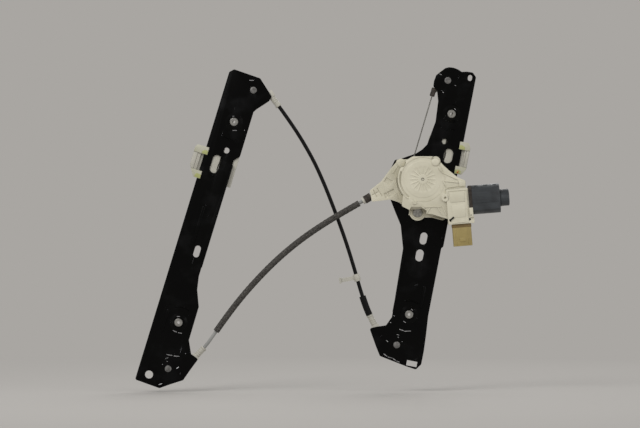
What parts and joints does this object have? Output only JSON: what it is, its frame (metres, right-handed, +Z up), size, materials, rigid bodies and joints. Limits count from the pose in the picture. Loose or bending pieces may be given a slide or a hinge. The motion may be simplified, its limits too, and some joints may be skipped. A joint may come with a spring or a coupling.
{
  "type": "window regulator",
  "caption": "Twin-rail cable window regulator: two stamped steel rails with sliding glass clamps, joined by two conduits and driven by a geared motor.",
  "frame": {"origin": "axis of the right rail's upper clinch nut, at the rail's front face", "axes": "+X to the right seen from the motor side, along the door; +Z up; +Y from the motor side toward the glass"},
  "size_m": [0.5592, 0.067, 0.4813],
  "materials": {
    "black_steel": "glossy black e-coat, scratched",
    "zinc": "zinc plated, dull",
    "pale_plastic": "off-white moulded",
    "cream_plastic": "cream moulded, satin",
    "hook_plastic": "yellow-green tinted moulded",
    "can_steel": "slate grey, satin",
    "dark_rubber": "matt",
    "sheath_fabric": "brown-black woven sleeve",
    "black_plastic": "black, satin",
    "grey_plastic": "grey, smooth",
    "cable_steel": "stranded, greased",
    "ochre_plastic": "ochre moulded",
    "brass": "bright",
    "shaft_steel": "machined",
    "magnet": "ferrite",
    "board": "solder resist"
  },
  "bodies": {
    "frame": {"left_rail": "black_steel", "right_rail": "black_steel", "clinch_nuts": "zinc", "pulley_rivets": "zinc", "left_top_guard": "pale_plastic", "left_bottom_guard": "pale_plastic", "right_top_guard": "pale_plastic", "right_bottom_guard": "pale_plastic", "lower_stops": "dark_rubber", "conduit_a_liner": "grey_plastic", "conduit_a_sheath": "sheath_fabric", "conduit_a_collar": "dark_rubber", "conduit_a_ring": "pale_plastic", "conduit_a_ferrule": "pale_plastic", "conduit_b_casing": "black_plastic", "conduit_b_ferrules": "pale_plastic", "conduit_b_sleeve": "black_plastic", "conduit_b_clip": "pale_plastic", "lower_cable": "cable_steel", "cross_cable": "cable_steel", "upper_cable": "cable_steel", "drum_housing": "cream_plastic", "gear_housing": "cream_plastic", "gear_cover": "cream_plastic", "housing_screws": "zinc", "drum_axle": "zinc", "motor_can": "can_steel", "motor_magnets": "magnet", "motor_gasket": "dark_rubber", "shaft_bushes": "brass", "electronics_housing": "cream_plastic", "electronics_lid": "cream_plastic", "brush_holder": "black_plastic", "brushes": "magnet", "circuit_board": "board", "plug_socket": "ochre_plastic", "plug_pins": "brass"},
    "left_slider": {"left_carrier": "pale_plastic", "left_guide_hooks": "hook_plastic", "left_glass_jaw": "pale_plastic", "left_clamp_screw": "zinc", "left_cable_nipple": "cable_steel"},
    "right_slider": {"right_carrier": "pale_plastic", "right_guide_hooks": "hook_plastic", "right_glass_jaw": "pale_plastic", "right_clamp_screw": "zinc", "right_cable_nipple": "cable_steel"},
    "drum": {"cable_drum": "pale_plastic", "wound_cable": "cable_steel", "worm_wheel": "cream_plastic", "wheel_damper": "dark_rubber"},
    "armature": {"armature_shaft": "shaft_steel", "armature_core": "shaft_steel", "commutator": "brass"},
    "left_top_pulley": {"left_top_pulley": "pale_plastic"},
    "left_bottom_pulley": {"left_bottom_pulley": "pale_plastic"},
    "right_top_pulley": {"right_top_pulley": "pale_plastic"},
    "right_bottom_pulley": {"right_bottom_pulley": "pale_plastic"}
  },
  "joints": [
    {"name": "armature_spin", "type": "hinge", "parent": "frame", "child": "armature", "pos_m": [-0.04139, -0.0265, -0.13454], "axis": [-0.9969, 0, -0.0785], "range_deg": [-35911.8, 9089.38]},
    {"name": "drum_spin", "type": "hinge", "parent": "frame", "child": "drum", "pos_m": [-0.04425, -0.02, -0.09825], "axis": [0, -1, 0], "range_deg": [-652.96, 165.28]},
    {"name": "left_lift", "type": "slide", "parent": "frame", "child": "left_slider", "axis": [0.2929, 0, 0.9562], "range_m": [-0.245, 0.062]},
    {"name": "right_lift", "type": "slide", "parent": "frame", "child": "right_slider", "axis": [0.1898, 0, 0.9818], "range_m": [-0.2451, 0.0621]},
    {"name": "left_top_pulley_spin", "type": "hinge", "parent": "frame", "child": "left_top_pulley", "pos_m": [-0.29711, 0.006, 0.03567], "axis": [0, -1, 0], "range_deg": [-222.07, 877.39]},
    {"name": "left_bottom_pulley_spin", "type": "hinge", "parent": "frame", "child": "left_bottom_pulley", "pos_m": [-0.4251, 0.006, -0.38217], "axis": [0, -1, 0], "range_deg": [-222.07, 877.39]},
    {"name": "right_top_pulley_spin", "type": "hinge", "parent": "frame", "child": "right_top_pulley", "pos_m": [-0.00549, 0.006, 0.05036], "axis": [0, -1, 0], "range_deg": [-877.39, 222.07]},
    {"name": "right_bottom_pulley_spin", "type": "hinge", "parent": "frame", "child": "right_bottom_pulley", "pos_m": [-0.08218, 0.006, -0.3464], "axis": [0, -1, 0], "range_deg": [-877.39, 222.07]}
  ],
  "couplings": [
    {"joint": "armature_spin", "follows": "left_lift", "rad_per_m": 2558.1},
    {"joint": "drum_spin", "follows": "left_lift", "rad_per_m": 46.512},
    {"joint": "right_lift", "follows": "left_lift", "ratio": 1},
    {"joint": "left_top_pulley_spin", "follows": "left_lift", "rad_per_m": -62.5},
    {"joint": "left_bottom_pulley_spin", "follows": "left_lift", "rad_per_m": -62.5},
    {"joint": "right_top_pulley_spin", "follows": "left_lift", "rad_per_m": 62.5},
    {"joint": "right_bottom_pulley_spin", "follows": "left_lift", "rad_per_m": 62.5}
  ]
}
